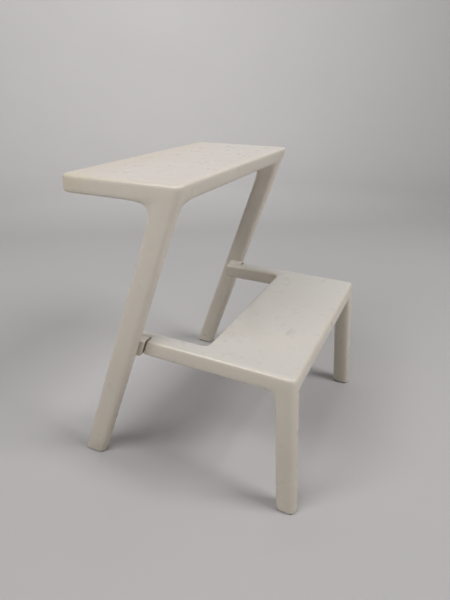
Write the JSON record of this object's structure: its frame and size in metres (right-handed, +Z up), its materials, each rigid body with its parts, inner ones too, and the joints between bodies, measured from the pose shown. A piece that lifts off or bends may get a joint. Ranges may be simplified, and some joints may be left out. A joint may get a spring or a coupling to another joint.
{
  "type": "step stool",
  "caption": "Folding step stool: a top step on leaning legs, hinged to a lower step with arms and front legs, both one-piece mouldings in off-white plastic.",
  "frame": {"origin": "on the floor, in the middle of the stool's bounding box", "axes": "+Z up; -Y towards the front, where the lower step is; +X to the right of someone who faces the back from the front"},
  "size_m": [0.458, 0.396, 0.5],
  "materials": {
    "shell": "satin off-white moulding",
    "cover": "fine matt off-white",
    "rubber": "matt dark grey",
    "bush": "smooth white",
    "steel": "bright"
  },
  "bodies": {
    "lower_unit": {"lower_frame": "shell", "lower_cover": "cover", "lower_screw_1": "steel", "lower_screw_2": "steel", "lower_screw_3": "steel", "lower_screw_4": "steel", "front_foot_left": "rubber", "hinge_bush_left": "bush", "hinge_cap_left": "shell", "front_foot_right": "rubber", "hinge_bush_right": "bush", "hinge_cap_right": "shell"},
    "upper_unit": {"upper_frame": "shell", "upper_cover": "cover", "upper_screw_1": "steel", "upper_screw_2": "steel", "upper_screw_3": "steel", "upper_screw_4": "steel", "rear_foot_left": "rubber", "hinge_pin_left": "steel", "stop_pad_left": "rubber", "rear_foot_right": "rubber", "hinge_pin_right": "steel", "stop_pad_right": "rubber"}
  },
  "joints": [
    {"name": "fold", "type": "hinge", "parent": "lower_unit", "child": "upper_unit", "pos_m": [0, 0.0868, 0.225], "axis": [-1, 0, 0], "range_deg": [0, 108]}
  ]
}
